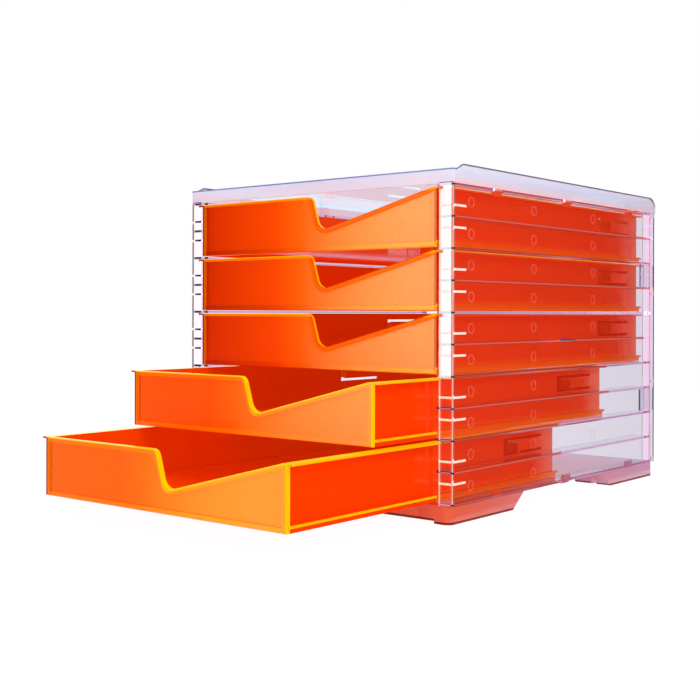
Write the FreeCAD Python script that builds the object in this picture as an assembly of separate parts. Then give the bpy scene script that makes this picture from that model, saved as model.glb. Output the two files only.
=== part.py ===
import FreeCAD, Part
import math
import os

V = FreeCAD.Vector
os.makedirs("parts", exist_ok=True)

# Millimetres, Z up, the drawers open towards -Y.
# The origin is on the table, under the middle of the casing.

# Casing
bays = 5
steps_in_bay = 2
pitch = 22.75
casing_w = 268.0
casing_d = 336.0
table_to_lowest_line = 14.4
casing_wall = 2.2
corner_r = 2.0

# Side panels
ledge_t = 2.0
ledge_start = 3.8
middle_ledge_short = 11.9
middle_ledge_gap = 35.2
gate_ahead_of_middle = 4.1
post_w = 12.2
post_t = 2.2
rung_t = 1.6
rung_end = 16.5
rung_drop_in_steps = (0.653, 1.347)
rear_rib_t = 1.6
rear_rib_reach = 6.8
gate_r = 4.5
gate_t = 0.5

# Top cover
cover_rise = 11.4
cover_plate_t = 2.0
rim_rise = 15.3
rim_t = 2.2
rim_ramp_from = 4.0
rim_ramp_to = 12.5
rim_front_r = 3.0
rear_round_run = 18.0
rear_round_drop = 10.3
rear_round_bulge_run = 5.5
rear_round_bulge_drop = 2.9

# Clips that hold the cover and the base to the side panels
clip_from_front = 62.5
clip_past_middle = 2.0
clip_from_rear = 51.0
clip_w = 11.0
clip_t = 1.8
clip_hook = 1.0
clip_hook_h = 3.0
clip_inset = 1.2
clip_gap = 0.4

# Base
base_plate_t = 2.0
base_inset = 10.0
apron_drop = 12.4
apron_t = 2.0
foot_inset = 2.6
foot_w = 13.4
foot_end = 86.0
foot_slope = 17.0
foot_wall = 2.0
foot_corner_r = 6.0
step_w = 15.0
step_end = 106.0
step_slope = 9.0

# Back panel
back_t = 2.4
back_setback = 0.4
back_side_setback = 0.8
back_flange_d = 8.2
back_flange_t = 2.0
hook_t = 1.6
hook_reach = 19.0
hook_gap = 0.4
hook_slot_gap = 0.3
hook_from_middle_in_steps = 2.5
window_h = 3.0
window_d = 2.2
window_from_middle_in_steps = (1.785, 4.93)

# Drawers
body_inset = 2.8
body_wall = 2.0
front_t = 3.2
front_proud = 1.0
front_bevel = 0.7
field_depth = 0.8
frame_w = 3.6
rear_wall_t = 2.0
rear_corner_r = 3.0
floor_rise = 3.0
floor_t = 1.8
floor_reach = 3.5
skirt_t = 2.0
skirt_inset = 0.9
lip_reach = 4.1
lip_t = 1.3
inside_r = 1.5
drawer_open = (0.0, 0.0, 0.0, 73.5, 157.5)

# Clearances
run_gap = 0.3
side_gap = 0.6
post_gap = 2.1
rear_gap = 3.2
lip_gap = 1.0
notch_under_lip = 0.5

# Cut-out in a drawer front
shoulder_x = 1.8
shoulder_r = 6.0
valley_x = 10.1
valley_z = 15.6
valley_r = 9.0
slope_top_inset = 4.2
slope_top_r = 14.0

# Stop tongue in a drawer side
tongue_from_rear = 78.6
tongue_root_from_rear = 20.6
tongue_top_drop = 7.3
tongue_bottom_drop = 20.5
tongue_slot = 2.2
tongue_front_slot = 7.2
nose_inset = 2.8
nose_d = 9.5
nose_out = 8.3
nose_tip_d = 3.0

# Sizes that follow from the ones above
lines = bays * steps_in_bay
half_w = casing_w / 2
half_d = casing_d / 2
half_ledge = ledge_t / 2
wall_in = half_w - casing_wall
post_half = half_w - post_w
front_half = post_half - post_gap
lip_half = front_half + lip_reach
notch_half = lip_half + lip_gap
body_half = front_half - body_inset
inner_half = body_half - body_wall
ledge_half = body_half + side_gap
back_inner_d = casing_d - back_setback - back_t
panel_end = back_inner_d - back_flange_d
ledge_end = panel_end - rear_rib_t
gate_d = half_d - gate_ahead_of_middle
gap_from = gate_d - middle_ledge_gap / 2
gap_to = gate_d + middle_ledge_gap / 2
middle_ledge_end = ledge_end - middle_ledge_short
clip_depths = (clip_from_front, half_d + clip_past_middle, casing_d - clip_from_rear)
drawer_len = front_proud + back_inner_d - rear_gap
drawer_h = steps_in_bay * pitch - ledge_t - 2 * run_gap
slope_top_x = front_half - slope_top_inset
tongue_front = drawer_len - tongue_from_rear
tongue_rear = drawer_len - tongue_root_from_rear


def line_z(k):
    return table_to_lowest_line + (lines - k) * pitch


top_line = line_z(0)
low_line = line_z(lines)
panel_top = top_line + half_ledge
panel_low = low_line - half_ledge


def box(x0, x1, d0, d1, z0, z1):
    low = V(min(x0, x1), d0 - half_d, z0)
    return Part.makeBox(abs(x1 - x0), d1 - d0, z1 - z0, low)


def prism_x(points, x0, x1):
    # points are (distance from the front, height)
    corners = [V(min(x0, x1), d - half_d, z) for d, z in points]
    face = Part.Face(Part.makePolygon(corners + corners[:1]))
    return face.extrude(V(abs(x1 - x0), 0, 0))


def fused(shapes):
    return shapes[0].multiFuse(shapes[1:]).removeSplitter()


def cut_all(shape, tools):
    return shape.cut(tools[0].multiFuse(tools[1:])) if len(tools) > 1 else shape.cut(tools[0])


def upright_edges(shape, x, d):
    found = []
    for edge in shape.Edges:
        box_of = edge.BoundBox
        at_x = abs(box_of.Center.x - x) < run_gap and box_of.XLength < run_gap
        at_d = abs(box_of.Center.y + half_d - d) < run_gap and box_of.YLength < run_gap
        if at_x and at_d and box_of.ZLength > run_gap:
            found.append(edge)
    return found


def mirrored(shape):
    return shape.mirror(V(0, 0, 0), V(1, 0, 0))


def rounded_face(corners):
    # corners are (x, z, radius) and the face lies in the XZ plane
    edges = []
    count = len(corners)
    tangents = []
    for i in range(count):
        x, z, r = corners[i]
        here = V(x, 0, z)
        before = V(corners[i - 1][0], 0, corners[i - 1][1]) - here
        after = V(corners[(i + 1) % count][0], 0, corners[(i + 1) % count][1]) - here
        before.normalize()
        after.normalize()
        if r == 0:
            tangents.append((here, here, here))
            continue
        turn = before.getAngle(after)
        run = r / math.tan(turn / 2)
        middle = before + after
        middle.normalize()
        bulge = here + middle * (r / math.sin(turn / 2) - r)
        tangents.append((here + before * run, bulge, here + after * run))
    for i in range(count):
        start, bulge, end = tangents[i]
        if (end - start).Length > 0:
            edges.append(Part.Arc(start, bulge, end).toShape())
        following = tangents[(i + 1) % count][0]
        edges.append(Part.LineSegment(end, following).toShape())
    return Part.Face(Part.Wire(edges))


# Side panel, made for the right side and mirrored for the left
def clip_slots(z0, z1):
    # each clip leans in by its hook, so the slot is wider there
    tools = []
    for middle in clip_depths:
        d0 = middle - clip_w / 2 - clip_gap
        d1 = middle + clip_w / 2 + clip_gap
        x0 = wall_in - clip_inset - clip_t - clip_hook - clip_gap
        tools.append(box(x0, wall_in - clip_inset + clip_gap, d0, d1, z0, z1))
    return tools


def hook_heights():
    # one hook above and one below the middle ledge, each between two ledges
    spans = []
    for side in (-1, 1):
        middle = line_z(lines / 2) + side * hook_from_middle_in_steps * pitch
        half = pitch / 2 - half_ledge - hook_gap
        spans.append((middle - half, middle + half))
    return spans


def side_panel():
    solids = [box(wall_in, half_w, 0, panel_end, panel_low, panel_top)]
    solids.append(box(post_half, half_w, 0, post_t, panel_low, panel_top))
    for k in range(lines + 1):
        z0 = line_z(k) - half_ledge
        z1 = line_z(k) + half_ledge
        solids.append(box(post_half, half_w, 0, ledge_start, z0, z1))
        if 2 * k == lines:
            solids.append(box(ledge_half, half_w, ledge_start, gap_from, z0, z1))
            solids.append(box(ledge_half, half_w, gap_to, middle_ledge_end, z0, z1))
        else:
            solids.append(box(ledge_half, half_w, ledge_start, ledge_end, z0, z1))
    rear_x = wall_in - rear_rib_reach
    solids.append(box(rear_x, half_w, ledge_end, panel_end, panel_low, panel_top))
    for bay in range(bays):
        for drop in rung_drop_in_steps:
            z = line_z(bay * steps_in_bay) - drop * pitch
            rung_x = post_half + side_gap
            solids.append(box(rung_x, half_w, 0, rung_end, z - rung_t / 2, z + rung_t / 2))
    panel = fused(solids)

    tools = []
    for bay in range(bays):
        z1 = line_z(bay * steps_in_bay) - half_ledge
        z0 = z1 - run_gap - lip_t - notch_under_lip
        tools.append(box(ledge_half, notch_half, -post_t, ledge_start, z0, z1))
    for z0, z1 in hook_heights():
        slot_x = wall_in - hook_gap - hook_t - hook_slot_gap
        tools.append(box(slot_x, wall_in, ledge_end - post_t, panel_end + post_t,
                         z0 - hook_slot_gap, z1 + hook_slot_gap))
    tools += clip_slots(top_line - ledge_t, top_line + ledge_t)
    tools += clip_slots(low_line - ledge_t, low_line + ledge_t)
    panel = cut_all(panel, tools)

    panel = panel.makeFillet(corner_r, upright_edges(panel, half_w, 0))
    at = V(wall_in - gate_t, gate_d - half_d, line_z(lines / 2))
    gate = Part.makeCylinder(gate_r, casing_wall, at, V(1, 0, 0))
    return panel.fuse(gate).removeSplitter()


# Clip, a tongue that passes a slot in the outermost ledge and hooks behind it
def clip(middle, root, seat, way):
    # root is where the clip grows, seat is the ledge's near face, and way is -1 for down or 1 for up
    x1 = wall_in - clip_inset
    x0 = x1 - clip_t
    hook_from = seat + way * (ledge_t + run_gap)
    tip = hook_from + way * clip_hook_h
    d0 = middle - clip_w / 2
    d1 = middle + clip_w / 2
    stem = box(x0, x1, d0, d1, min(root, tip), max(root, tip))
    corners = [V(x0, d0 - half_d, hook_from), V(x0 - clip_hook, d0 - half_d, hook_from)]
    corners.append(V(x0, d0 - half_d, tip))
    face = Part.Face(Part.makePolygon(corners + corners[:1]))
    return stem.fuse(face.extrude(V(0, clip_w, 0)))


def both_sides(shape):
    return [shape, mirrored(shape)]


# Top cover
def rear_round():
    # what is taken off the cover's rear edge to round it
    high = top_line + rim_rise
    y1 = half_d
    start = V(-casing_w, y1 - rear_round_run, high)
    bulge = V(-casing_w, y1 - rear_round_bulge_run, high - rear_round_bulge_drop)
    end = V(-casing_w, y1, high - rear_round_drop)
    far = V(-casing_w, y1 + rear_round_run, high - rear_round_drop)
    far_up = V(-casing_w, y1 + rear_round_run, high + rear_round_drop)
    up = V(-casing_w, y1 - rear_round_run, high + rear_round_drop)
    edges = [Part.Arc(start, bulge, end).toShape()]
    for a, b in ((end, far), (far, far_up), (far_up, up), (up, start)):
        edges.append(Part.LineSegment(a, b).toShape())
    return Part.Face(Part.Wire(edges)).extrude(V(2 * casing_w, 0, 0))


def top_cover():
    cover_top = top_line + cover_rise
    under = cover_top - cover_plate_t
    outer = box(-half_w, half_w, 0, casing_d, panel_top, cover_top)
    edges = []
    for x in (-half_w, half_w):
        edges += upright_edges(outer, x, 0) + upright_edges(outer, x, casing_d)
    outer = outer.makeFillet(corner_r, edges)
    hollow = box(-wall_in, wall_in, casing_wall, casing_d - casing_wall, panel_top - ledge_t, under)
    shell = outer.cut(hollow)

    rim_top = top_line + rim_rise
    points = [(rim_ramp_from, cover_top - ledge_t), (rim_ramp_from, cover_top), (rim_ramp_to, rim_top)]
    points += [(casing_d, rim_top), (casing_d, cover_top - ledge_t)]
    rim = prism_x(points, half_w - rim_t, half_w)
    ramp_top = [e for e in rim.Edges if abs(e.BoundBox.Center.y + half_d - rim_ramp_to) < run_gap]
    rim = rim.makeFillet(rim_front_r, ramp_top)
    rim = rim.makeFillet(corner_r, upright_edges(rim, half_w, casing_d))
    solids = [shell] + both_sides(rim)
    for middle in clip_depths:
        solids += both_sides(clip(middle, under + run_gap, panel_top, -1))
    return fused(solids).cut(rear_round())


# Base with four feet
def foot():
    outer_x = half_w - foot_inset
    inner_x = outer_x - foot_w
    points = [(0, 0), (foot_end, 0), (foot_end + foot_slope, panel_low), (0, panel_low)]
    block = prism_x(points, inner_x, outer_x)
    block = block.makeFillet(foot_corner_r, upright_edges(block, outer_x, 0))
    step_low = low_line - apron_drop
    points = [(0, step_low), (step_end - step_slope, step_low), (step_end, panel_low), (0, panel_low)]
    step = prism_x(points, inner_x - step_w, inner_x + foot_wall)
    inner_end = foot_end - foot_wall
    roof = panel_low - base_plate_t
    slope_part = foot_slope * roof / panel_low
    points = [(foot_wall, -foot_wall), (foot_wall, roof), (inner_end + slope_part, roof)]
    points += [(inner_end, 0), (inner_end, -foot_wall)]
    room = prism_x(points, inner_x + foot_wall, outer_x - foot_wall)
    room = room.makeFillet(foot_corner_r - foot_wall, upright_edges(room, outer_x - foot_wall, foot_wall))
    points = [(foot_wall, -foot_wall), (foot_wall, roof), (step_end - step_slope, roof)]
    points += [(step_end - step_slope - foot_wall, -foot_wall)]
    step_room = prism_x(points, inner_x - step_w + foot_wall, inner_x)
    return block.cut(room).fuse(step.cut(step_room))


def base():
    plate_x = half_w - base_inset
    plate = box(-plate_x, plate_x, 0, casing_d, panel_low - base_plate_t, panel_low)
    apron_x = half_w - foot_inset - foot_w - step_w + foot_wall
    apron = box(-apron_x, apron_x, 0, apron_t, low_line - apron_drop, panel_low)
    front_right = foot()
    rear_right = front_right.mirror(V(0, 0, 0), V(0, 1, 0))
    solids = [plate, apron]
    solids += both_sides(front_right) + both_sides(rear_right)
    plate_low = panel_low - base_plate_t
    for middle in clip_depths:
        d0 = middle - clip_w / 2
        strap = box(plate_x - base_plate_t, wall_in - clip_inset, d0, d0 + clip_w, plate_low, panel_low)
        solids += both_sides(strap) + both_sides(clip(middle, plate_low, panel_low, 1))
    return fused(solids)


# Back panel
def back_panel():
    rear_d = casing_d - back_setback
    face_d = back_inner_d
    half_x = half_w - back_side_setback
    outer = box(-half_x, half_x, panel_end, rear_d, panel_low, panel_top)
    edges = upright_edges(outer, half_x, rear_d) + upright_edges(outer, -half_x, rear_d)
    outer = outer.makeFillet(corner_r, edges)
    room_x = half_x - back_flange_t
    room = box(-room_x, room_x, ledge_end, face_d, panel_low - back_t, panel_top + back_t)
    solids = [outer.cut(room)]
    for z0, z1 in hook_heights():
        x1 = wall_in - hook_gap
        hook = box(x1 - hook_t, x1, panel_end - hook_reach, face_d + back_t / 2, z0, z1)
        solids += both_sides(hook)
    shape = fused(solids)
    windows = []
    for side in (-1, 1):
        for steps in window_from_middle_in_steps:
            middle = line_z(lines / 2) + side * steps * pitch
            window = box(room_x - window_d, half_w, face_d - window_d, face_d + back_flange_t / 2,
                         middle - window_h / 2, middle + window_h / 2)
            windows += both_sides(window)
    return cut_all(shape, windows)


# Drawer, built closed with its underside at height zero
def front_panel():
    corners = [(-front_half, 0, 0), (front_half, 0, 0), (front_half, drawer_h, 0)]
    corners.append((slope_top_x, drawer_h, slope_top_r))
    corners.append((valley_x, valley_z, valley_r))
    corners.append((shoulder_x, drawer_h, shoulder_r))
    corners.append((-front_half, drawer_h, 0))
    outline = rounded_face(corners)
    outline.translate(V(0, -half_d, 0))
    panel = outline.extrude(V(0, front_t, 0))
    arris = [e for e in panel.Edges if e.BoundBox.YMax < run_gap - half_d]
    panel = panel.makeChamfer(front_bevel, arris)
    field = outline.makeOffset2D(-frame_w, 0, False, False, False)
    field.translate(V(0, -field_depth, 0))
    return panel.cut(field.extrude(V(0, 2 * field_depth, 0)))


def tongue_tools():
    top = drawer_h + run_gap + half_ledge
    z1 = top - tongue_top_drop
    z0 = top - tongue_bottom_drop
    x0 = inner_half - body_wall
    x1 = body_half + body_wall
    tools = [box(x0, x1, tongue_front, tongue_rear, z1 - tongue_slot, z1)]
    tools.append(box(x0, x1, tongue_front, tongue_rear, z0, z0 + tongue_slot))
    tools.append(box(x0, x1, tongue_front, tongue_front + tongue_front_slot, z0, z1))
    return tools


def nose():
    top = drawer_h + run_gap + half_ledge
    z1 = top - tongue_top_drop - nose_inset
    z0 = top - tongue_bottom_drop + nose_inset
    d0 = tongue_front + tongue_front_slot - half_d
    out = body_half + nose_out
    corners = [V(body_half, d0, z0), V(out, d0, z0), V(out, d0 + nose_tip_d, z0), V(body_half, d0 + nose_d, z0)]
    face = Part.Face(Part.makePolygon(corners + corners[:1]))
    return face.extrude(V(0, 0, z1 - z0))


def drawer_closed():
    floor_top = floor_rise + floor_t
    outer = box(-body_half, body_half, front_t / 2, drawer_len, floor_rise, drawer_h)
    for x in (-body_half, body_half):
        outer = outer.makeFillet(rear_corner_r, upright_edges(outer, x, drawer_len))
    room = box(-inner_half, inner_half, front_t, drawer_len - rear_wall_t, floor_top, drawer_h + lip_t)
    low_edges = [e for e in room.Edges if e.BoundBox.ZMax < floor_top + run_gap]
    room = room.makeFillet(inside_r, low_edges)
    front_room = box(-front_half, front_half, -front_t, front_t, floor_top, drawer_h + lip_t)
    tray = outer.cut(room).cut(front_room)

    floor_half = body_half + floor_reach
    skirt_out = floor_half - skirt_inset
    flange = box(-floor_half, floor_half, front_t / 2, drawer_len, floor_rise, floor_top)
    skirt = box(-skirt_out, skirt_out, front_t / 2, drawer_len - skirt_t, 0, floor_rise)
    skirt_room = box(-skirt_out + skirt_t, skirt_out - skirt_t, front_t, drawer_len - 2 * skirt_t,
                     -floor_rise, floor_rise)
    lip = box(inner_half, lip_half, front_bevel, drawer_len - rear_corner_r, drawer_h - lip_t, drawer_h)
    lips = both_sides(lip)
    body = fused([tray, flange, skirt.cut(skirt_room), front_panel()] + lips)
    tools = []
    for tool in tongue_tools():
        tools += both_sides(tool)
    body = cut_all(body, tools)
    return fused([body] + both_sides(nose()))


def placed_drawer(closed, bay):
    shape = closed.copy()
    under = line_z((bay + 1) * steps_in_bay) + half_ledge + run_gap
    shape.translate(V(0, -front_proud - drawer_open[bay], under))
    return shape


right_panel = side_panel()
closed = drawer_closed()
nodes = {
    "base": base(),
    "side_panel_right": right_panel,
    "side_panel_left": mirrored(right_panel),
    "back_panel": back_panel(),
    "top_cover": top_cover(),
}
for bay in range(bays):
    nodes["drawer_%d" % (bay + 1)] = placed_drawer(closed, bay)

for name, shape in nodes.items():
    shape.exportStep("parts/%s.step" % name)
    bounds = shape.BoundBox
    size = (round(bounds.XLength, 1), round(bounds.YLength, 1), round(bounds.ZLength, 1))
    print(name, "solids", len(shape.Solids), "valid", shape.isValid(), "size", size)
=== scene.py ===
import math

import bmesh
import bpy
from mathutils import Matrix, Vector


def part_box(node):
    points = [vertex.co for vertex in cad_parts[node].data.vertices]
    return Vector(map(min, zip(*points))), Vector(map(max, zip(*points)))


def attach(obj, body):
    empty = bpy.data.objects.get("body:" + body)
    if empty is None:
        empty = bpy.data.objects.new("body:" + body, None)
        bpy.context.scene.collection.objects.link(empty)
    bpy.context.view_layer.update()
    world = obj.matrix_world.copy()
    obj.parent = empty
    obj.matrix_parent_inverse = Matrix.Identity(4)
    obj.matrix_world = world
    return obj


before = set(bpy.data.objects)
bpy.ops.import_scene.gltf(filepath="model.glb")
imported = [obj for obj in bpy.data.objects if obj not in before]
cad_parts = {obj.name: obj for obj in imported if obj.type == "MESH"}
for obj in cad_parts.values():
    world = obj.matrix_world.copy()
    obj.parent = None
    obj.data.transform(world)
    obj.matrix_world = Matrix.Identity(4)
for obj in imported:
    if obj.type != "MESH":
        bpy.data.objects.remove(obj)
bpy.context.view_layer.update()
scene = bpy.context.scene
scene.view_settings.view_transform = "Standard"
scene.cycles.max_bounces = 20
scene.cycles.transmission_bounces = 20
scene.cycles.glossy_bounces = 6
scene.cycles.diffuse_bounces = 5
scene.cycles.transparent_max_bounces = 32


# The casing: cover, two side panels, back panel and base, moulded in clear
# polystyrene with a faint lilac tint and snapped together. Ledges and rungs show
# through the side walls as thin lines painted in light and dark tones, and the
# posts' corners and fronts carry a painted glow.
PITCH = 0.02275
LOWEST_LINE = 0.0144
TOP_LINE = LOWEST_LINE + 10 * PITCH
CASING_FRONT = -0.168
CASING_REAR = 0.168
RUNG_DROPS_IN_STEPS = (0.653, 1.347)
RUNG_END = 0.0165
HALF_RUNG = 0.0008
HALF_LEDGE = 0.0006
TICK_END = 0.1292
REAR_SLOTS = 0.150
REAR_LINE = 0.1545
POST_INSIDE = 0.1218
OUTER_SIDE = 0.1335
CLEAR_TINT = (0.60, 0.50, 0.86, 1.0)
SHADOW_TINT = (0.93, 0.90, 0.94, 1.0)
PLATE_TOP = TOP_LINE + 0.0114
RIM_TOP = TOP_LINE + 0.0153
RIM_RAMP = (CASING_FRONT + 0.004, CASING_FRONT + 0.0125)
REAR_ROUND = (0.018, 0.0103)
OUTLINE = 0.0011
FOOT_LINE = 0.0017
STEP_UNDERSIDE = 0.002
SKIN = 0.0004
CORNER_DEPTH = 0.003
FRONT_LINE = CASING_FRONT + 0.001
INNER_LINE = (POST_INSIDE + 0.0006, 0.0007)
REAR_LINE_HALF = 0.0006
JOINT_TOP = TOP_LINE + 0.0018
SKIRT_FOOT = (TOP_LINE + 0.0002, TOP_LINE + 0.0034)
SKIRT_FOOT_END = CASING_REAR - 0.024
CEILING_FROM = PLATE_TOP - 0.006
STEP_INSIDE = 0.118
CLIPS_LIT_TO = -0.05
SQUARE_ON = 0.9
TURNED = 0.5
SLANTED = 0.15
# painted orange light and glow on the clear clips of the cover and the base, where the drawers' light falls
CLIP_PAINTED_LIGHT = (0.90, 0.14, 0.03, 1.0)
CLIP_GLOW = (0.22, 0.015, 0.0, 1.0)


def node_of(tree, kind, **settings):
    made = tree.nodes.new(kind)
    for key, value in settings.items():
        setattr(made, key, value)
    return made


def put(tree, value, socket):
    if isinstance(value, bpy.types.NodeSocket):
        tree.links.new(value, socket)
    else:
        socket.default_value = value


def calc(tree, operation, *values):
    made = node_of(tree, "ShaderNodeMath", operation=operation)
    for socket, value in zip(made.inputs, values):
        put(tree, value, socket)
    return made.outputs[0]


def above(tree, value, limit):
    return calc(tree, "GREATER_THAN", value, limit)


def below(tree, value, limit):
    return calc(tree, "LESS_THAN", value, limit)


def near(tree, value, middle, half):
    return below(tree, calc(tree, "ABSOLUTE", calc(tree, "SUBTRACT", value, middle)), half)


def ramp(tree, value, start, end, low, high):
    made = node_of(tree, "ShaderNodeMapRange")
    for name, at in (("From Min", start), ("From Max", end), ("To Min", low), ("To Max", high)):
        put(tree, at, made.inputs[name])
    put(tree, value, made.inputs["Value"])
    return made.outputs["Result"]


def every(tree, *masks):
    result = masks[0]
    for mask in masks[1:]:
        result = calc(tree, "MULTIPLY", result, mask)
    return result


def any_of(tree, *masks):
    result = masks[0]
    for mask in masks[1:]:
        result = calc(tree, "MAXIMUM", result, mask)
    return result


def unless(tree, mask, other):
    return calc(tree, "MULTIPLY", mask, calc(tree, "SUBTRACT", 1.0, other))


def place_and_turn(tree):
    # position, and how far the surface turns to each side, in the part's own frame
    where = node_of(tree, "ShaderNodeTexCoord")
    found = []
    for name in ("Object", "Normal"):
        split = node_of(tree, "ShaderNodeSeparateXYZ")
        tree.links.new(where.outputs[name], split.inputs[0])
        found += list(split.outputs)
    return found


def new_group(name, inputs, outputs):
    group = bpy.data.node_groups.new(name, "ShaderNodeTree")
    for label in inputs:
        group.interface.new_socket(label, in_out="INPUT", socket_type="NodeSocketFloat")
    for label in outputs:
        group.interface.new_socket(label, in_out="OUTPUT", socket_type="NodeSocketFloat")
    return group, node_of(group, "NodeGroupInput").outputs, node_of(group, "NodeGroupOutput").inputs


def layered(tree, start, layers, socket):
    # lays each masked colour over the ones before it
    under = start
    for mask, colour in layers:
        mix = node_of(tree, "ShaderNodeMix", data_type="RGBA")
        put(tree, mask, mix.inputs["Factor"])
        put(tree, under, mix.inputs["A"])
        put(tree, colour, mix.inputs["B"])
        under = mix.outputs["Result"]
    put(tree, under, socket)


def rib_group():
    # where moulded lines lie on or behind a side panel's outer face and its post, and the post's front that gets
    # painted light
    group, entry, leave = new_group(
        "moulded_ribs", ("Right", "Shut Above"),
        ("Ledge", "Main Ledge", "Rung", "Post Rung", "Post Ledge", "Tick",
         "Corner", "Line", "Dot", "Painted Post Light", "Rear Slot", "Rear Line"))
    x, y, z, turn_x, turn_y, turn_z = place_and_turn(group)
    sideways = calc(group, "ABSOLUTE", x)
    turned_x = calc(group, "ABSOLUTE", turn_x)
    turned_y = calc(group, "ABSOLUTE", turn_y)
    drop = calc(group, "SUBTRACT", TOP_LINE, z)
    behind = calc(group, "SUBTRACT", y, CASING_FRONT)
    outer = every(group, above(group, sideways, OUTER_SIDE), above(group, turned_x, SQUARE_ON))
    post = every(group, below(group, behind, SKIN), above(group, turned_y, SQUARE_ON))
    right_post = every(group, post, entry["Right"])
    shut = above(group, z, entry["Shut Above"])
    in_bay = calc(group, "WRAP", drop, 2 * PITCH, 0.0)
    at_odd = near(group, in_bay, PITCH, HALF_LEDGE)
    at_even = below(group, calc(group, "PINGPONG", drop, PITCH), HALF_LEDGE)
    at_line = any_of(group, at_odd, at_even)
    at_rung = any_of(group, *[near(group, in_bay, steps * PITCH, HALF_RUNG) for steps in RUNG_DROPS_IN_STEPS])
    on_side = every(group, outer, below(group, behind, RUNG_END))
    corner = every(group, below(group, behind, CORNER_DEPTH),
                   above(group, turned_x, SLANTED), above(group, turned_y, SLANTED))
    arris = every(group, corner, above(group, turned_x, TURNED), above(group, turned_y, TURNED))
    inner_line = every(group, right_post, near(group, sideways, *INNER_LINE))
    tick = every(group, post, any_of(group, at_line, at_rung), below(group, sideways, TICK_END))
    put(group, every(group, outer, at_odd), leave["Ledge"])
    put(group, every(group, outer, at_even), leave["Main Ledge"])
    put(group, every(group, at_rung, on_side), leave["Rung"])
    put(group, unless(group, every(group, at_rung, right_post), shut), leave["Post Rung"])
    put(group, unless(group, every(group, at_line, right_post), shut), leave["Post Ledge"])
    put(group, unless(group, tick, entry["Right"]), leave["Tick"])
    put(group, corner, leave["Corner"])
    put(group, any_of(group, arris, inner_line), leave["Line"])
    put(group, every(group, corner, at_line), leave["Dot"])
    put(group, every(group, post, shut), leave["Painted Post Light"])
    put(group, every(group, above(group, y, REAR_SLOTS), below(group, turned_x, TURNED)), leave["Rear Slot"])
    put(group, every(group, outer, near(group, y, REAR_LINE, REAR_LINE_HALF)), leave["Rear Line"])
    return group


def clear_plastic(name, clearness, bend, density, base, glow, colours=None, glows=None):
    # colours and glows give (mask, colour) layers in the material's tree
    material = bpy.data.materials.new(name)
    material.use_nodes = True
    tree = material.node_tree
    tree.nodes.clear()
    out = node_of(tree, "ShaderNodeOutputMaterial")
    body = node_of(tree, "ShaderNodeBsdfPrincipled")
    body.inputs["Roughness"].default_value = 0.02
    body.inputs["IOR"].default_value = bend
    body.inputs["Transmission Weight"].default_value = clearness
    body.inputs["Emission Strength"].default_value = 1.0
    layered(tree, base, colours(tree) if colours else (), body.inputs["Base Color"])
    layered(tree, glow, glows(tree) if glows else (), body.inputs["Emission Color"])
    depth = node_of(tree, "ShaderNodeVolumeAbsorption")
    depth.inputs["Color"].default_value = CLEAR_TINT
    depth.inputs["Density"].default_value = density
    passing = node_of(tree, "ShaderNodeBsdfTransparent")
    passing.inputs["Color"].default_value = SHADOW_TINT
    path = node_of(tree, "ShaderNodeLightPath")
    mix = node_of(tree, "ShaderNodeMixShader")
    put(tree, any_of(tree, path.outputs["Is Shadow Ray"], path.outputs["Is Diffuse Ray"]), mix.inputs["Fac"])
    tree.links.new(body.outputs[0], mix.inputs[1])
    tree.links.new(passing.outputs[0], mix.inputs[2])
    tree.links.new(mix.outputs[0], out.inputs["Surface"])
    tree.links.new(depth.outputs[0], out.inputs["Volume"])
    return material


def ribs_of(tree, right):
    ribs = node_of(tree, "ShaderNodeGroup", node_tree=moulded_ribs)
    ribs.inputs["Right"].default_value = right
    ribs.inputs["Shut Above"].default_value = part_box("drawer_4")[1][2]
    return ribs.outputs


def ribbed_plastic(name, right, painted_post_light):
    # painted light and shade on the clear panel: pink and brown lines at the ledges, white painted highlights on
    # the rungs, dark painted ticks on the left post, black painted dots where lines meet the corner, and a pink
    # line at the rear
    def colours(tree):
        found = ribs_of(tree, right)
        return ((found["Ledge"], (0.66, 0.42, 0.42, 1.0)), (found["Main Ledge"], (0.50, 0.30, 0.32, 1.0)),
                (found["Rung"], (0.90, 0.85, 0.85, 1.0)), (found["Post Rung"], (0.90, 0.85, 0.85, 1.0)),
                (found["Post Ledge"], (0.70, 0.45, 0.60, 1.0)), (found["Tick"], (0.03, 0.02, 0.08, 1.0)),
                (found["Rear Line"], (0.80, 0.30, 0.36, 1.0)), (found["Dot"], (0.0, 0.0, 0.0, 1.0)))

    # painted glow: on the rear slots, the post's front beside the shut drawers, the ledges, the rounded corner, the
    # arrises, the rungs, and faintly over the whole panel
    def glows(tree):
        found = ribs_of(tree, right)
        return ((found["Rear Slot"], (0.13, 0.07, 0.11, 1.0)),
                (found["Painted Post Light"], (painted_post_light, painted_post_light, painted_post_light, 1.0)),
                (found["Ledge"], (0.26, 0.11, 0.09, 1.0)), (found["Main Ledge"], (0.20, 0.07, 0.06, 1.0)),
                (found["Corner"], (0.08, 0.04, 0.035, 1.0)), (found["Line"], (0.78, 0.40, 0.30, 1.0)),
                (found["Rung"], (0.90, 0.78, 0.62, 1.0)),
                (found["Post Rung"], (0.88, 0.70, 0.42, 1.0)), (found["Post Ledge"], (0.36, 0.16, 0.26, 1.0)),
                (found["Tick"], (0.0, 0.0, 0.0, 1.0)), (found["Dot"], (0.0, 0.0, 0.0, 1.0)))

    return clear_plastic(name, 1.0, 1.5, 60.0, (1.0, 1.0, 1.0, 1.0), (0.002, 0.002, 0.002, 1.0), colours, glows)


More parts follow.
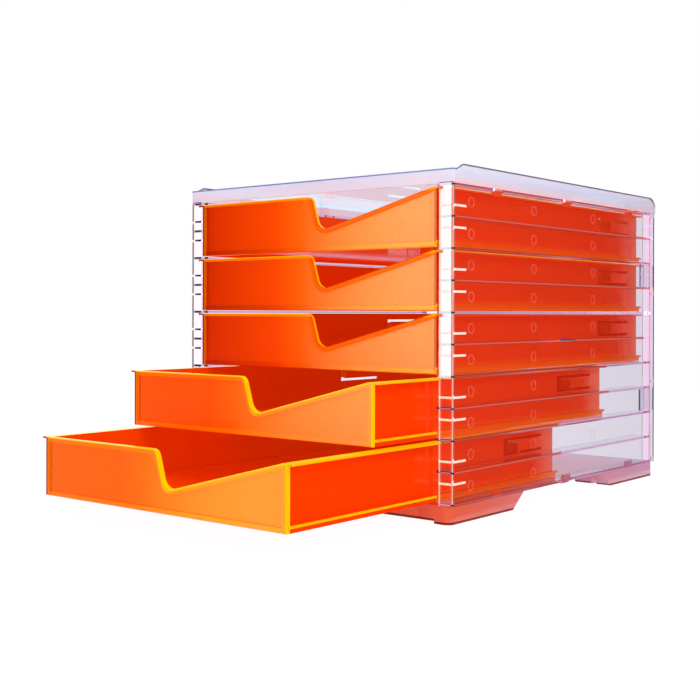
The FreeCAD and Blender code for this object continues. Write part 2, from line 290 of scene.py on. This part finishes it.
def cover_outline(tree):
    # painted dark lines: the arris along the top of the rim, the front edge, and the joint where the skirt meets
    # the posts
    x, y, z, turn_x, turn_y, turn_z = place_and_turn(tree)
    ramped = ramp(tree, y, RIM_RAMP[0], RIM_RAMP[1], PLATE_TOP, RIM_TOP)
    past = calc(tree, "MAXIMUM", calc(tree, "SUBTRACT", y, CASING_REAR - REAR_ROUND[0]), 0.0)
    part = calc(tree, "DIVIDE", past, REAR_ROUND[0])
    fallen = calc(tree, "MULTIPLY", calc(tree, "POWER", part, 2.2), REAR_ROUND[1])
    top = calc(tree, "SUBTRACT", calc(tree, "SUBTRACT", ramped, fallen), OUTLINE)
    outer = above(tree, calc(tree, "ABSOLUTE", turn_x), SLANTED)
    arris = every(tree, outer, above(tree, z, top))
    front = every(tree, below(tree, y, FRONT_LINE), above(tree, z, PLATE_TOP - OUTLINE))
    joint = every(tree, below(tree, y, FRONT_LINE), below(tree, z, JOINT_TOP),
                  above(tree, calc(tree, "ABSOLUTE", x), POST_INSIDE))
    mask = any_of(tree, arris, front, joint)
    return ((calc(tree, "MULTIPLY", mask, 0.85), (0.10, 0.06, 0.20, 1.0)),)


def cover_lines(tree):
    # painted light at the foot of the skirt, from the drawer behind it, a painted cyan glow
    # on the ceiling under the plate, and the clips below the top line
    x, y, z, turn_x, turn_y, turn_z = place_and_turn(tree)
    outer = above(tree, calc(tree, "ABSOLUTE", turn_x), SQUARE_ON)
    foot = every(tree, outer, ramp(tree, z, *SKIRT_FOOT, 0.9, 0.0), below(tree, y, SKIRT_FOOT_END))
    ceiling = every(tree, below(tree, turn_z, -SQUARE_ON), above(tree, z, CEILING_FROM))
    return foot, ceiling, below(tree, z, TOP_LINE - 0.0002)


def cover_colours(tree):
    foot, ceiling, clip = cover_lines(tree)
    return ((foot, (1.0, 0.42, 0.30, 1.0)), (clip, CLIP_PAINTED_LIGHT)) + cover_outline(tree)


def cover_glow(tree):
    foot, ceiling, clip = cover_lines(tree)
    return ((ceiling, (0.04, 0.38, 0.46, 1.0)), (foot, (0.45, 0.10, 0.05, 1.0)), (clip, CLIP_GLOW),
            (cover_outline(tree)[0][0], (0.0, 0.0, 0.0, 1.0)))


def base_lines(tree):
    x, y, z, turn_x, turn_y, turn_z = place_and_turn(tree)
    rearward = ramp(tree, y, CASING_FRONT, CASING_REAR, 0.0, 1.0)
    on_foot = below(tree, z, FOOT_LINE)
    on_step = every(tree, below(tree, z, STEP_UNDERSIDE + FOOT_LINE),
                    below(tree, calc(tree, "ABSOLUTE", x), STEP_INSIDE))
    clip = every(tree, above(tree, z, LOWEST_LINE), below(tree, y, CLIPS_LIT_TO))
    return rearward, clip, any_of(tree, on_foot, on_step)


def base_colours(tree):
    # painted orange light from the drawers on the base at the front, giving way to mauve towards
    # the rear, painted light on the front clips, and a painted dark shade line along the lowest
    # edge of the feet and the step
    rearward, clip, lowest = base_lines(tree)
    return ((rearward, (0.78, 0.52, 0.66, 1.0)), (clip, CLIP_PAINTED_LIGHT), (lowest, (0.26, 0.002, 0.0, 1.0)))


def base_glow(tree):
    # painted glow in the same layers: orange at the front, mauve towards the rear
    rearward, clip, lowest = base_lines(tree)
    return ((rearward, (0.11, 0.055, 0.085, 1.0)), (clip, CLIP_GLOW), (lowest, (0.04, 0.0, 0.0, 1.0)))


def dress(node, material):
    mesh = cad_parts[node].data
    mesh.materials.clear()
    mesh.materials.append(material)


moulded_ribs = rib_group()
dress("side_panel_right", ribbed_plastic("side_panel_right_clear", 1.0, 0.52))
dress("side_panel_left", ribbed_plastic("side_panel_left_clear", 0.0, 0.25))
# the back panel and the cover carry a faint painted glow
dress("back_panel", clear_plastic("back_panel_clear", 1.0, 1.5, 60.0, (1.0, 1.0, 1.0, 1.0),
                                  (0.015, 0.012, 0.02, 1.0)))
dress("top_cover", clear_plastic("top_cover_clear", 0.5, 1.2, 20.0, (0.89, 0.82, 0.90, 1.0),
                                 (0.035, 0.035, 0.045, 1.0), cover_colours, cover_glow))
# the base's salmon colour and its glow are painted orange light from the drawers
dress("base", clear_plastic("base_clear", 0.4, 1.3, 20.0, (0.82, 0.18, 0.09, 1.0), (0.14, 0.014, 0.002, 1.0),
                            base_colours, base_glow))


# The five drawers: one moulding each in fluorescent orange, translucent polystyrene.
# The rim, the cut-out's edge and the floor flange are painted with a yellow glow,
# stronger on an open drawer than on a shut one, and the fronts carry painted light,
# sheen and shade.
FRONT_HALF = 0.1197
FRONT_THICKNESS = 0.0032
FIELD_DEPTH = 0.0008
DRAWER_HEIGHT = 0.0429
LIP_THICKNESS = 0.0013
FARTHEST_OPEN = 0.1575
VALLEY = (0.0101, 0.0156)
SLOPE_RISE = 0.259
STEEP_FALL = 3.289
OUTLINE_WIDTH = 0.0018
FRAME_WIDTH = 0.0038
SHUT_WITHIN = 0.002
COUNTS_AS_OPEN = 0.1
EDGE_SKIN = 0.0003
FRONT_SKIN = 0.0002
FIELD_SKIN = 0.00003
LIP_SKIN = 0.0001
FACE_SLANTED = 0.3
TOP_BAND = 0.0022
LOW_BAND = 0.0038
LEFT_BAND = 0.0023
RIGHT_BAND = 0.0016
WALL_BEHIND = (0.0034 - FRONT_HALF, 0.0011)
WALL_SHADOW = (0.0058 - FRONT_HALF, 0.0013)
BEHIND_FRONT = (FRONT_THICKNESS + 0.0008, 0.0008)
LIP_FROM = 0.1230
FLANGE_FROM = 0.1195
FLANGE_TOP = 0.0050
SKIRT_LIGHT = (0.0015, 0.0085)
FIELD_BEHIND = 0.002
LIT_FROM_TO = (-0.13, -0.02)
LOW_BAND_BRIGHTENS = (0.0, 0.10)
LOW_BAND_DARK = (-0.12, 0.02)
BRIGHT_SHEEN_FROM_TO = (-0.035, 0.100)
PEACH_SHEEN_FROM_TO = (-0.010, 0.100)
REAR_HAZE_FROM_TO = (0.296, 0.331)
FLOW_SCALE = 75.0


def glow_group():
    group, entry, leave = new_group("painted_drawer_light", ("Front", "Underside", "Open"),
                                    ("Edge Glow", "Shade", "Field", "Lit", "Sunny", "Bright", "Peach Sheen",
                                     "Outside", "Cased", "Flow", "Outline", "Rear Haze"))
    # masks for painted light and shade on a drawer; Flow alone is a random tone
    x, y, z, turn_x, turn_y, turn_z = place_and_turn(group)
    behind = calc(group, "SUBTRACT", y, entry["Front"])
    height = calc(group, "SUBTRACT", z, entry["Underside"])
    sideways = calc(group, "ABSOLUTE", x)
    turned_y = calc(group, "ABSOLUTE", turn_y)
    is_open = above(group, entry["Open"], COUNTS_AS_OPEN)
    outside_casing = below(group, y, CASING_FRONT)
    outward = above(group, calc(group, "MULTIPLY", calc(group, "SIGN", x), turn_x), TURNED)

    in_front = below(group, behind, FRONT_THICKNESS + FRONT_SKIN)
    raised = below(group, behind, FIELD_DEPTH - FIELD_SKIN)
    through = unless(group, every(group, in_front, below(group, turned_y, FACE_SLANTED)), raised)
    at_side = above(group, sideways, FRONT_HALF - EDGE_SKIN)
    cut_edge = unless(group, through, at_side)
    side_edge = every(group, through, at_side)
    bevel = every(group, raised, above(group, turned_y, FACE_SLANTED), below(group, turned_y, SQUARE_ON))
    low_bevel = every(group, bevel, below(group, turn_z, -FACE_SLANTED))
    beyond = calc(group, "SUBTRACT", x, VALLEY[0])
    over = calc(group, "SUBTRACT", height, VALLEY[1])
    from_slope = calc(group, "SUBTRACT", over, calc(group, "MULTIPLY", beyond, SLOPE_RISE))
    from_steep = calc(group, "MULTIPLY", calc(group, "ADD", over, calc(group, "MULTIPLY", beyond, STEEP_FALL)),
                      1.0 / STEEP_FALL)
    nearest = calc(group, "MINIMUM", from_slope, from_steep)
    outline = every(group, raised, above(group, nearest, -OUTLINE_WIDTH))
    around_gap = every(group, raised, above(group, nearest, -FRAME_WIDTH))
    step = every(group, raised, below(group, turned_y, FACE_SLANTED))
    top_band = every(group, raised, above(group, height, DRAWER_HEIGHT - TOP_BAND))
    low_band = every(group, raised, below(group, height, LOW_BAND))
    left_band = every(group, in_front, below(group, x, LEFT_BAND - FRONT_HALF))
    right_band = every(group, raised, above(group, x, FRONT_HALF - RIGHT_BAND))
    # a painted bright line where the side wall shows through the front, and a painted shadow line beside it
    wall_behind = every(group, in_front, near(group, x, *WALL_BEHIND))
    wall_shadow = every(group, in_front, near(group, x, *WALL_SHADOW))
    behind_front = every(group, outward, near(group, behind, *BEHIND_FRONT))

    # painted glow along the front's edges: weaker on a shut drawer, and over the bevels, the cut-out, the frame and
    # the outline on an open one
    shut_edge = any_of(group, calc(group, "MULTIPLY", top_band, 0.30), calc(group, "MULTIPLY", cut_edge, 0.7),
                       calc(group, "MULTIPLY", low_band, ramp(group, x, *LOW_BAND_BRIGHTENS, 0.0, 0.40)))
    open_edge = any_of(group, unless(group, bevel, low_bevel), cut_edge, side_edge,
                       calc(group, "MULTIPLY", outline, 0.6), calc(group, "MULTIPLY", raised, 0.14))
    front_edge = any_of(group, unless(group, shut_edge, is_open), every(group, open_edge, is_open))
    front_edge = unless(group, front_edge, any_of(group, left_band, step))

    # painted yellow glow on the rim, the lip and the floor flange, weaker inside the casing, and a painted glow at
    # the foot of the wall inside it
    rim = every(group, above(group, turn_z, TURNED), above(group, height, DRAWER_HEIGHT - SKIN))
    lip = every(group, outward, above(group, height, DRAWER_HEIGHT - LIP_THICKNESS - LIP_SKIN),
                above(group, sideways, LIP_FROM))
    flange = every(group, outward, above(group, sideways, FLANGE_FROM), below(group, height, FLANGE_TOP))
    line_glow = ramp(group, outside_casing, 0.0, 1.0, 0.08, 0.80)
    side_lines = calc(group, "MULTIPLY", any_of(group, lip, every(group, flange, outside_casing)), line_glow)
    skirt_light = unless(group, every(group, outward, ramp(group, height, *SKIRT_LIGHT, 0.14, 0.0)), outside_casing)
    edge = any_of(group, front_edge, calc(group, "MULTIPLY", wall_behind, 0.16), rim, side_lines, skirt_light)

    # painted shade: on a shut drawer's bevels, cut sides, step, right band and lower left, on an open drawer's
    # lower bevel, step and the side just behind its front, and on every drawer's left band
    shut_shade = any_of(group, calc(group, "MULTIPLY", unless(group, bevel, top_band), 0.50),
                        calc(group, "MULTIPLY", side_edge, 0.6), calc(group, "MULTIPLY", step, 0.9),
                        calc(group, "MULTIPLY", right_band, 0.55),
                        calc(group, "MULTIPLY", low_band, ramp(group, x, *LOW_BAND_DARK, 0.55, 0.0)))
    open_shade = any_of(group, calc(group, "MULTIPLY", low_bevel, 0.25), calc(group, "MULTIPLY", step, 0.6),
                        calc(group, "MULTIPLY", behind_front, 0.5))
    shade = any_of(group, unless(group, shut_shade, is_open), every(group, open_shade, is_open),
                   calc(group, "MULTIPLY", left_band, 0.8), calc(group, "MULTIPLY", wall_shadow, 0.40))

    # the front field is painted darker at the left and lit towards the right, brighter on an open drawer, with a
    # yellow and a peach painted sheen towards the right
    field = every(group, below(group, behind, FIELD_BEHIND), above(group, turned_y, FACE_SLANTED))
    lit = any_of(group, ramp(group, x, *LIT_FROM_TO, 0.0, 1.0), is_open)
    put(group, edge, leave["Edge Glow"])
    put(group, shade, leave["Shade"])
    put(group, field, leave["Field"])
    put(group, every(group, field, lit), leave["Lit"])
    flow = node_of(group, "ShaderNodeTexNoise")
    flow.inputs["Scale"].default_value = FLOW_SCALE
    flow.inputs["Detail"].default_value = 5.0
    put(group, ramp(group, flow.outputs[0], 0.35, 0.75, 0.0, 0.22), leave["Flow"])
    # a painted orange-red shade line around the cut-out of a shut drawer
    put(group, unless(group, around_gap, is_open), leave["Outline"])
    # a painted pale haze of light on the wall's outer side towards the rear
    put(group, every(group, outward, ramp(group, behind, *REAR_HAZE_FROM_TO, 0.0, 0.55)), leave["Rear Haze"])
    put(group, every(group, field, entry["Open"]), leave["Sunny"])
    put(group, every(group, field, ramp(group, x, *BRIGHT_SHEEN_FROM_TO, 0.0, 1.0)), leave["Bright"])
    put(group, every(group, field, ramp(group, x, *PEACH_SHEEN_FROM_TO, 0.0, 1.0)), leave["Peach Sheen"])
    # lit and shaded copies: the inner faces within the casing get more painted glow than the outer faces and the
    # front
    put(group, any_of(group, outward, in_front), leave["Outside"])
    put(group, unless(group, outward, any_of(group, in_front, outside_casing)), leave["Cased"])
    return group


def drawer_plastic(name, front_y, under_z):
    opened = max(0.0, (CASING_FRONT - SHUT_WITHIN - front_y) / FARTHEST_OPEN)
    material = bpy.data.materials.new(name)
    material.use_nodes = True
    tree = material.node_tree
    tree.nodes.clear()
    out = node_of(tree, "ShaderNodeOutputMaterial")
    glow = node_of(tree, "ShaderNodeGroup", node_tree=painted_drawer_light)
    glow.inputs["Front"].default_value = front_y
    glow.inputs["Underside"].default_value = under_z
    glow.inputs["Open"].default_value = opened
    found = glow.outputs
    body = node_of(tree, "ShaderNodeBsdfPrincipled")
    body.inputs["IOR"].default_value = 1.26
    body.inputs["Specular Tint"].default_value = (1.0, 0.70, 0.0, 1.0)
    body.inputs["Transmission Weight"].default_value = 0.30
    body.inputs["Emission Strength"].default_value = 1.0
    peach_sheen = (1.0, 0.48, 0.17 - 0.13 * opened, 1.0)
    # over the orange go lit and shaded copies of the wall, then painted haze, light, sheen, shade and edge glow;
    # Flow is a random darker tone
    layered(tree, (0.75, 0.07, 0.0, 1.0),
            ((found["Outside"], (0.90, 0.065, 0.0, 1.0)), (found["Cased"], (0.92, 0.075, 0.006, 1.0)),
             (found["Rear Haze"], (0.95, 0.42, 0.30, 1.0)), (found["Field"], (0.60, 0.025, 0.0, 1.0)),
             (found["Lit"], (0.92, 0.105, 0.0, 1.0)), (found["Sunny"], (1.0, 0.19, 0.0, 1.0)),
             (found["Bright"], (1.0, 0.46, 0.02, 1.0)), (found["Peach Sheen"], peach_sheen),
             (found["Flow"], (0.55, 0.02, 0.0, 1.0)), (found["Outline"], (0.92, 0.15, 0.0, 1.0)),
             (found["Shade"], (0.30, 0.004, 0.0, 1.0)), (found["Edge Glow"], (1.0, 0.48, 0.0, 1.0))),
            body.inputs["Base Color"])
    # the emission paints the plastic's glow in the same layers, strongest on the edges
    layered(tree, (0.12, 0.010, 0.0, 1.0),
            ((found["Outside"], (0.20, 0.007, 0.0, 1.0)), (found["Cased"], (0.28, 0.014, 0.001, 1.0)),
             (found["Rear Haze"], (0.36, 0.13, 0.09, 1.0)), (found["Field"], (0.06, 0.002, 0.0, 1.0)),
             (found["Lit"], (0.17, 0.014, 0.0, 1.0)), (found["Bright"], (0.18, 0.07, 0.0, 1.0)),
             (found["Peach Sheen"], (0.18, 0.07, 0.015, 1.0)), (found["Outline"], (0.16, 0.03, 0.0, 1.0)),
             (found["Shade"], (0.02, 0.0, 0.0, 1.0)), (found["Edge Glow"], (0.55, 0.28, 0.0, 1.0))),
            body.inputs["Emission Color"])
    put(tree, ramp(tree, found["Field"], 0.0, 1.0, 0.10, 0.18), body.inputs["Roughness"])
    passing = node_of(tree, "ShaderNodeBsdfTransparent")
    passing.inputs["Color"].default_value = (0.55, 0.30, 0.26, 1.0)
    path = node_of(tree, "ShaderNodeLightPath")
    mix = node_of(tree, "ShaderNodeMixShader")
    tree.links.new(path.outputs["Is Shadow Ray"], mix.inputs["Fac"])
    tree.links.new(body.outputs[0], mix.inputs[1])
    tree.links.new(passing.outputs[0], mix.inputs[2])
    tree.links.new(mix.outputs[0], out.inputs["Surface"])
    return material


painted_drawer_light = glow_group()
for number in range(1, 6):
    drawer = "drawer_%d" % number
    low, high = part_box(drawer)
    dress(drawer, drawer_plastic(drawer + "_orange", low[1], low[2]))


# Ejector marks on the inside of both side panels.
# Round pins pushed each panel out of its mould and left a faint ring at three
# depths in the middle of every step between two ledges.
MARK_DEPTHS = (0.0247, 0.1137, 0.2125)
MARK_RADIUS = 0.0036
MARK_HALF_WIDTH = 0.00022
WALL_INSIDE = 0.1318


def mark_plastic():
    material = bpy.data.materials.new("ejector_mark_painted_glow")
    material.use_nodes = True
    body = material.node_tree.nodes["Principled BSDF"]
    # the ring's pale orange colour and its emission are painted light from the drawers
    body.inputs["Base Color"].default_value = (0.95, 0.50, 0.38, 1.0)
    body.inputs["Emission Color"].default_value = (0.50, 0.20, 0.12, 1.0)
    body.inputs["Emission Strength"].default_value = 1.0
    body.inputs["Roughness"].default_value = 0.3
    body.inputs["Alpha"].default_value = 0.20
    return material


def mark_rings(name, side):
    shape = bmesh.new()
    for step in range(10):
        for depth in MARK_DEPTHS:
            ring = bmesh.ops.create_circle(shape, cap_ends=False, segments=8, radius=MARK_HALF_WIDTH)
            corners = ring["verts"]
            bmesh.ops.translate(shape, verts=corners, vec=(MARK_RADIUS, 0.0, 0.0))
            edges = list({edge for corner in corners for edge in corner.link_edges})
            bmesh.ops.rotate(shape, verts=corners, cent=(MARK_RADIUS, 0.0, 0.0),
                             matrix=Matrix.Rotation(math.pi / 2, 3, "X"))
            bmesh.ops.spin(shape, geom=corners + edges, cent=(0, 0, 0), axis=(0, 0, 1),
                           angle=2 * math.pi, steps=28, use_merge=True)
            grown = list({corner for face in shape.faces if not face.tag for corner in face.verts})
            for face in shape.faces:
                face.tag = True
            bmesh.ops.rotate(shape, verts=grown, cent=(0, 0, 0), matrix=Matrix.Rotation(math.pi / 2, 3, "Y"))
            at = Vector((side * (WALL_INSIDE - 0.0001), CASING_FRONT + depth, LOWEST_LINE + (step + 0.5) * PITCH))
            bmesh.ops.translate(shape, verts=grown, vec=at)
    bmesh.ops.recalc_face_normals(shape, faces=shape.faces)
    mesh = bpy.data.meshes.new(name)
    shape.to_mesh(mesh)
    shape.free()
    made = bpy.data.objects.new(name, mesh)
    scene.collection.objects.link(made)
    for face in mesh.polygons:
        face.use_smooth = True
    mesh.materials.append(ring_painted_glow)
    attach(made, "casing")


ring_painted_glow = mark_plastic()
mark_rings("ejector_marks_right", 1)
mark_rings("ejector_marks_left", -1)


# The studio: a white table before a white room, a large soft light overhead, and
# a tall strip light at the front left that shines back from the drawer fronts.
# Black flags keep the rest of the room out of the front and the right side.
STRIP_DIM_X = -1.15
STRIP_BRIGHT_X = -0.75
STRIP_END_X = -0.55
STRIP_STRENGTH = 6.0
STRIP_AT = ((STRIP_DIM_X + STRIP_END_X) / 2, -1.5, 0.45)
STRIP_HEIGHT = 0.9
TABLE_SIZE = 5.0
FRONT_FLAG = (3.0, 1.0)
FRONT_FLAG_AT = (-1.2, -1.6, 0.5)
SIDE_FLAG = (2.6, 0.8)
SIDE_FLAG_AT = (1.0, 1.0, 0.4)
LOW_FLAG = (0.855, 2.6)
LOW_FLAG_AT = (0.5725, 1.0, 0.001)
OVERHEAD_AT = Vector((0.1, -0.3, 1.6))
SIDE_BOX_AT = Vector((1.3, -0.5, 0.9))
LAMP_ENERGY = 14.0
LAMPS_AIM_AT = Vector((0.0, -0.1, 0.12))


def stage_sheet(name, width, height, matrix, material):
    shape = bmesh.new()
    bmesh.ops.create_grid(shape, x_segments=1, y_segments=1, size=0.5)
    bmesh.ops.scale(shape, vec=(width, height, 1.0), verts=shape.verts)
    bmesh.ops.transform(shape, matrix=matrix, verts=shape.verts)
    mesh = bpy.data.meshes.new(name)
    shape.to_mesh(mesh)
    shape.free()
    made = bpy.data.objects.new(name, mesh)
    scene.collection.objects.link(made)
    mesh.materials.append(material)
    return made


def seen_ray(tree):
    path = node_of(tree, "ShaderNodeLightPath").outputs
    return any_of(tree, path["Is Camera Ray"], path["Is Glossy Ray"], path["Is Transmission Ray"])


def white_table():
    material = bpy.data.materials.new("table_white")
    material.use_nodes = True
    tree = material.node_tree
    tree.nodes.clear()
    out = node_of(tree, "ShaderNodeOutputMaterial")
    body = node_of(tree, "ShaderNodeBsdfDiffuse")
    body.inputs["Color"].default_value = (0.85, 0.85, 0.85, 1.0)
    seen = node_of(tree, "ShaderNodeEmission")
    seen.inputs["Strength"].default_value = 1.06
    shaded = node_of(tree, "ShaderNodeMixShader")
    shaded.inputs["Fac"].default_value = 0.08
    mix = node_of(tree, "ShaderNodeMixShader")
    tree.links.new(seen.outputs[0], shaded.inputs[1])
    tree.links.new(body.outputs[0], shaded.inputs[2])
    tree.links.new(seen_ray(tree), mix.inputs["Fac"])
    tree.links.new(body.outputs[0], mix.inputs[1])
    tree.links.new(shaded.outputs[0], mix.inputs[2])
    tree.links.new(mix.outputs[0], out.inputs["Surface"])
    return material


def black_cloth():
    material = bpy.data.materials.new("flag_black")
    material.use_nodes = True
    body = material.node_tree.nodes["Principled BSDF"]
    body.inputs["Base Color"].default_value = (0.02, 0.02, 0.02, 1.0)
    body.inputs["Roughness"].default_value = 1.0
    body.inputs["Specular IOR Level"].default_value = 0.0
    return material


def strip_light():
    material = bpy.data.materials.new("strip_light")
    material.use_nodes = True
    tree = material.node_tree
    tree.nodes.clear()
    out = node_of(tree, "ShaderNodeOutputMaterial")
    glow = node_of(tree, "ShaderNodeEmission")
    x = place_and_turn(tree)[0]
    put(tree, ramp(tree, x, STRIP_DIM_X, STRIP_BRIGHT_X, 0.0, STRIP_STRENGTH), glow.inputs["Strength"])
    tree.links.new(glow.outputs[0], out.inputs["Surface"])
    return material


def soft_box(name, size, at):
    lamp = bpy.data.lights.new(name, "AREA")
    lamp.shape = "SQUARE"
    lamp.size = size
    lamp.energy = LAMP_ENERGY
    made = bpy.data.objects.new(name, lamp)
    aim = LAMPS_AIM_AT - at
    made.matrix_world = Matrix.Translation(at) @ aim.to_track_quat("-Z", "Y").to_matrix().to_4x4()
    scene.collection.objects.link(made)


def white_room():
    world = bpy.data.worlds.new("studio")
    world.use_nodes = True
    scene.world = world
    tree = world.node_tree
    tree.nodes.clear()
    out = node_of(tree, "ShaderNodeOutputWorld")
    room = node_of(tree, "ShaderNodeBackground")
    room.inputs["Color"].default_value = (0.34, 0.34, 0.35, 1.0)
    seen = node_of(tree, "ShaderNodeBackground")
    seen.inputs["Color"].default_value = (1.0, 1.0, 1.0, 1.0)
    mix = node_of(tree, "ShaderNodeMixShader")
    tree.links.new(seen_ray(tree), mix.inputs["Fac"])
    tree.links.new(room.outputs[0], mix.inputs[1])
    tree.links.new(seen.outputs[0], mix.inputs[2])
    tree.links.new(mix.outputs[0], out.inputs["Surface"])


cloth = black_cloth()
upright = Matrix.Rotation(math.radians(90), 4, "X")
sideways = Matrix.Rotation(math.radians(90), 4, "Z") @ upright
stage_sheet("table", TABLE_SIZE, TABLE_SIZE, Matrix.Identity(4), white_table())
front_flag = stage_sheet("front_flag", *FRONT_FLAG, Matrix.Translation(FRONT_FLAG_AT) @ upright, cloth)
side_flag = stage_sheet("side_flag", *SIDE_FLAG, Matrix.Translation(SIDE_FLAG_AT) @ sideways, cloth)
low_flag = stage_sheet("low_flag", *LOW_FLAG, Matrix.Translation(LOW_FLAG_AT), cloth)
strip = stage_sheet("strip", STRIP_END_X - STRIP_DIM_X, STRIP_HEIGHT,
                    Matrix.Translation(STRIP_AT) @ upright, strip_light())
for sheet in (front_flag, side_flag, low_flag, strip):
    sheet.visible_camera = False
low_flag.visible_shadow = False
low_flag.visible_diffuse = False
soft_box("overhead", 1.6, OVERHEAD_AT)
soft_box("side_box", 0.8, SIDE_BOX_AT)
white_room()


# The camera stands level at the right of the open front, 15 cm above the table,
# and its picture is shifted so that the box sits a little below the middle.
CAMERA_STANDS_AT = (0.5913, -0.8466, 0.1509)
CAMERA_TURN = math.radians(39.08)
CAMERA_ROLL = math.radians(0.16)
camera = bpy.data.cameras.new("camera")
camera.sensor_width = 36.0
camera.lens = 59.44
camera.shift_y = -0.054
camera_at = bpy.data.objects.new("camera", camera)
turn = Matrix.Rotation(CAMERA_TURN, 4, "Z") @ Matrix.Rotation(math.radians(90), 4, "X")
roll = Matrix.Rotation(CAMERA_ROLL, 4, "Z")
camera_at.matrix_world = Matrix.Translation(CAMERA_STANDS_AT) @ turn @ roll
scene.collection.objects.link(camera_at)
scene.camera = camera_at
